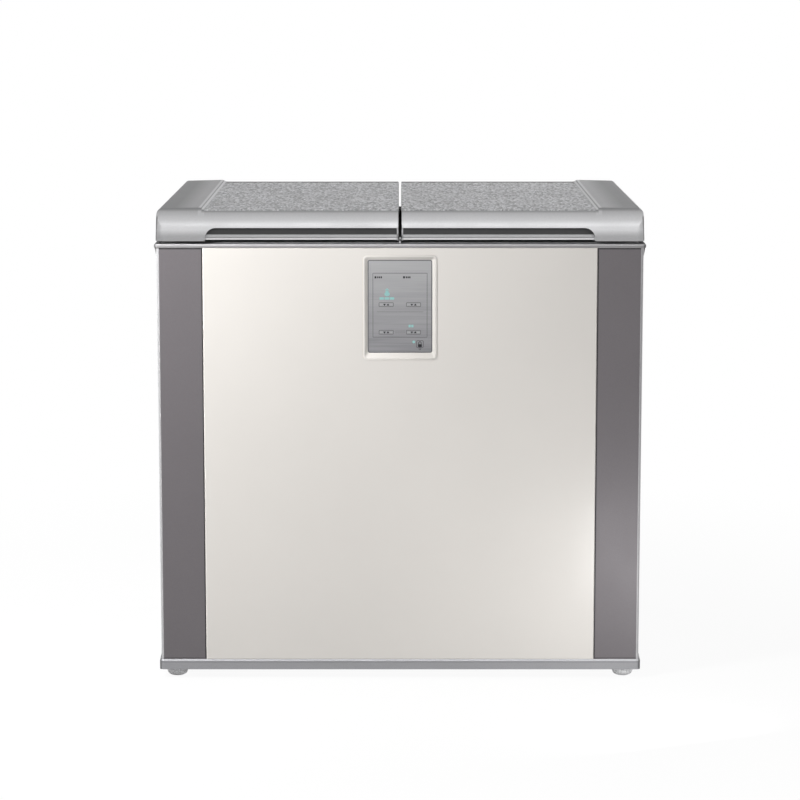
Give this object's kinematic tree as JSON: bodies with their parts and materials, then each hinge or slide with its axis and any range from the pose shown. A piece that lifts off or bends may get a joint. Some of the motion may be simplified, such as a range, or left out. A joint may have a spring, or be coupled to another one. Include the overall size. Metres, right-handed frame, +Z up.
{
  "type": "chest kimchi refrigerator",
  "caption": "Chest refrigerator with two rear-hinged lids over stepped cold wells, a recessed front display, a rear machine room, levelling feet and rear wheels.",
  "frame": {"origin": "centre of the footprint, on the floor", "axes": "+Z up, front towards -Y, +X to the right seen from the front"},
  "size_m": [0.934, 0.75, 0.913],
  "materials": {
    "panel_ivory": "gloss coating",
    "pillar_gunmetal": "satin metallic",
    "side_steel": "satin",
    "rear_steel": "galvanised sheet",
    "pan_steel": "galvanised sheet",
    "trim_silver": "silver paint",
    "base_grey": "silver paint",
    "deck_plastic": "moulded, satin",
    "well_aluminium": "embossed, satin",
    "tube_copper": "drawn copper tube",
    "foam": "poured foam",
    "sensor_white": "moulded",
    "display_rim": "ivory paint",
    "display_window": "printed, brushed look",
    "display_board": "circuit board",
    "lid_silver": "silver paint",
    "lid_skin": "printed crystal grain under a clear coat",
    "grip": "silver paint",
    "liner_white": "vacuum formed",
    "gasket": "soft extrusion",
    "hinge_steel": "zinc plated",
    "pin_steel": "turned",
    "spring_steel": "spring wire",
    "hinge_cover": "moulded",
    "compressor_black": "gloss black",
    "mount_rubber": "moulded",
    "condenser_black": "satin black",
    "fan_white": "moulded",
    "motor_grey": "satin",
    "shroud": "moulded",
    "control_box": "moulded",
    "grommet": "moulded",
    "foot_plastic": "moulded",
    "caster_steel": "zinc plated",
    "wheel_plastic": "moulded",
    "tub": "translucent",
    "tub_lid": "moulded",
    "screw_steel": "zinc plated"
  },
  "bodies": {
    "cabinet": {"front_panel": "panel_ivory", "left_pillar": "pillar_gunmetal", "right_pillar": "pillar_gunmetal", "left_side_panel": "side_steel", "right_side_panel": "side_steel", "rear_panel": "rear_steel", "rear_cover": "rear_steel", "floor_pan": "pan_steel", "top_trim": "trim_silver", "base_trim": "base_grey", "mouth_frame": "deck_plastic", "left_well": "well_aluminium", "right_well": "well_aluminium", "left_well_pan": "well_aluminium", "right_well_pan": "well_aluminium", "left_evaporator": "tube_copper", "right_evaporator": "tube_copper", "drier_and_pipes": "tube_copper", "insulation_foam": "foam", "sensor_covers": "sensor_white", "display_frame": "display_rim", "display_window": "display_window", "display_board": "display_board", "hinge_bases": "hinge_steel", "hinge_pins": "pin_steel", "caster_axles": "pin_steel", "hinge_springs": "spring_steel", "hinge_covers": "hinge_cover", "compressor": "compressor_black", "compressor_mounts": "mount_rubber", "condenser": "condenser_black", "fan_motor": "motor_grey", "fan_shroud": "shroud", "control_box": "control_box", "cord_grommet": "grommet", "caster_brackets": "caster_steel", "left_tubs": "tub", "right_tubs": "tub", "left_tub_lids": "tub_lid", "right_tub_lids": "tub_lid", "rear_screws": "screw_steel"},
    "left_lid": {"left_lid_cover": "lid_silver", "left_lid_skin": "lid_skin", "left_lid_grip": "grip", "left_lid_liner": "liner_white", "left_lid_foam": "foam", "left_gasket": "gasket", "left_hinge_arms": "hinge_steel"},
    "right_lid": {"right_lid_cover": "lid_silver", "right_lid_skin": "lid_skin", "right_lid_grip": "grip", "right_lid_liner": "liner_white", "right_lid_foam": "foam", "right_gasket": "gasket", "right_hinge_arms": "hinge_steel"},
    "condenser_fan": {"condenser_fan": "fan_white"},
    "left_wheel": {"left_wheel": "wheel_plastic"},
    "right_wheel": {"right_wheel": "wheel_plastic"},
    "left_foot": {"left_foot": "foot_plastic"},
    "right_foot": {"right_foot": "foot_plastic"}
  },
  "joints": [
    {"name": "left_lid_hinge", "type": "hinge", "parent": "cabinet", "child": "left_lid", "pos_m": [-0.23337, 0.362, 0.8485], "axis": [-1, 0, 0], "range_deg": [0, 80]},
    {"name": "right_lid_hinge", "type": "hinge", "parent": "cabinet", "child": "right_lid", "pos_m": [0.23337, 0.362, 0.8485], "axis": [-1, 0, 0], "range_deg": [0, 80]},
    {"name": "condenser_fan_spin", "type": "hinge", "parent": "cabinet", "child": "condenser_fan", "pos_m": [0.06, 0.284, 0.168], "axis": [1, 0, 0], "continuous": true},
    {"name": "left_wheel_roll", "type": "hinge", "parent": "cabinet", "child": "left_wheel", "pos_m": [-0.3875, 0.304, 0.015], "axis": [1, 0, 0], "continuous": true},
    {"name": "right_wheel_roll", "type": "hinge", "parent": "cabinet", "child": "right_wheel", "pos_m": [0.3875, 0.304, 0.015], "axis": [1, 0, 0], "continuous": true},
    {"name": "left_foot_screw", "type": "slide", "parent": "cabinet", "child": "left_foot", "axis": [0, 0, 1], "range_m": [-0.012, 0]},
    {"name": "right_foot_screw", "type": "slide", "parent": "cabinet", "child": "right_foot", "axis": [0, 0, 1], "range_m": [-0.012, 0]}
  ]
}
